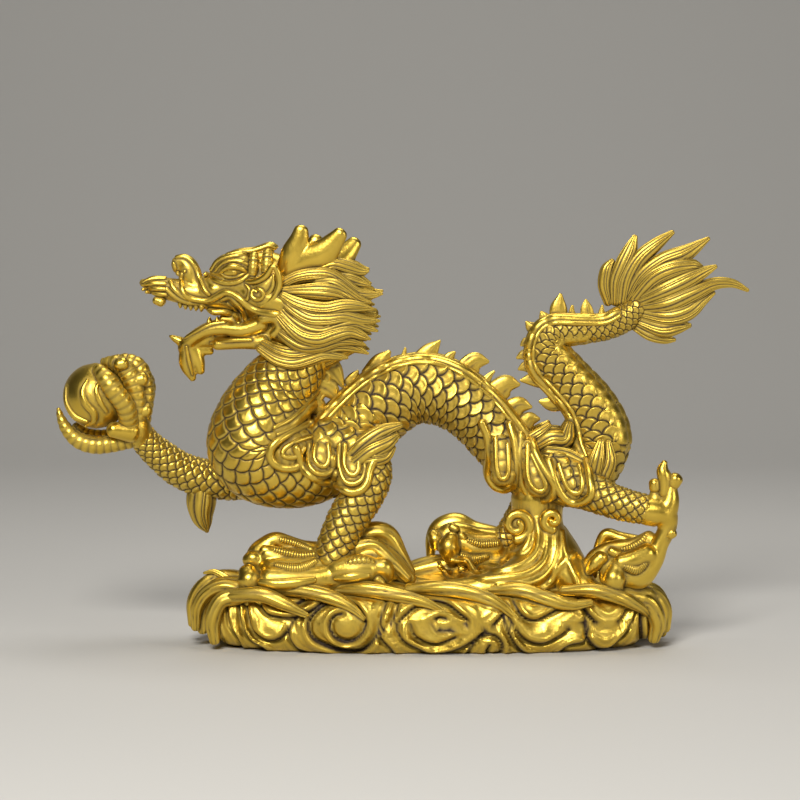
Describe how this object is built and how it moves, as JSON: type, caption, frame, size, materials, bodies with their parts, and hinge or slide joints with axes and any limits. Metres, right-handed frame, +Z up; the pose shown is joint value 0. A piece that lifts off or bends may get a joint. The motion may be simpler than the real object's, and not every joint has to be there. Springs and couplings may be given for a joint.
{
  "type": "dragon sculpture",
  "caption": "Gold dragon striding over a carved cloud base, holding a pearl in its raised front claw, tail up in a flame tuft.",
  "frame": {"origin": "middle of the base's underside, on the surface the statue stands on", "axes": "+Z up, +X from the head to the tail, -Y towards the viewer of the front side"},
  "size_m": [0.2069, 0.0529, 0.126],
  "materials": {
    "gold_paint": "gold paint with a dark antique wash in the carving, over cast resin"
  },
  "bodies": {
    "root": {"dragon_statue": "gold_paint"}
  },
  "joints": []
}
